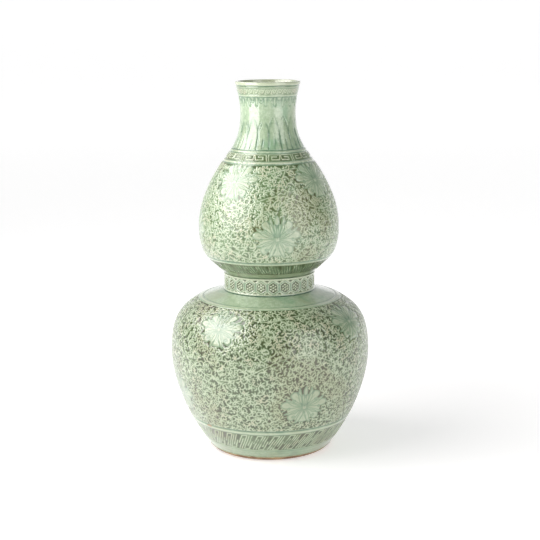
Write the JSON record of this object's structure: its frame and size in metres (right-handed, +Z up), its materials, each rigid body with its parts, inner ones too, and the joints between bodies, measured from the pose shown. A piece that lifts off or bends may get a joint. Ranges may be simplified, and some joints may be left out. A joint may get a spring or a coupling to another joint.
{
  "type": "double gourd vase",
  "caption": "Tall celadon flower vase in double gourd form: a broad lower bulb and a smaller upper bulb joined by a banded waist collar, with a slim neck and a flared mouth.",
  "frame": {"origin": "middle of the foot, on the plane that the foot ring's tread stands on", "axes": "+Z up along the vase's axis of revolution, from the foot to the mouth; the picture looks along +Y and slightly down"},
  "size_m": [0.216, 0.216, 0.4],
  "materials": {
    "celadon_glaze": "glossy pale green celadon glaze, darker green where it pools in the carving",
    "bare_foot": "bare fired clay, flashed orange brown"
  },
  "bodies": {
    "root": {"base_disc": "celadon_glaze", "lower_bowl": "celadon_glaze", "lower_shoulder": "celadon_glaze", "waist_collar": "celadon_glaze", "upper_bowl": "celadon_glaze", "upper_shoulder": "celadon_glaze", "neck": "celadon_glaze", "mouth": "celadon_glaze", "foot_ring": "bare_foot"}
  },
  "joints": []
}
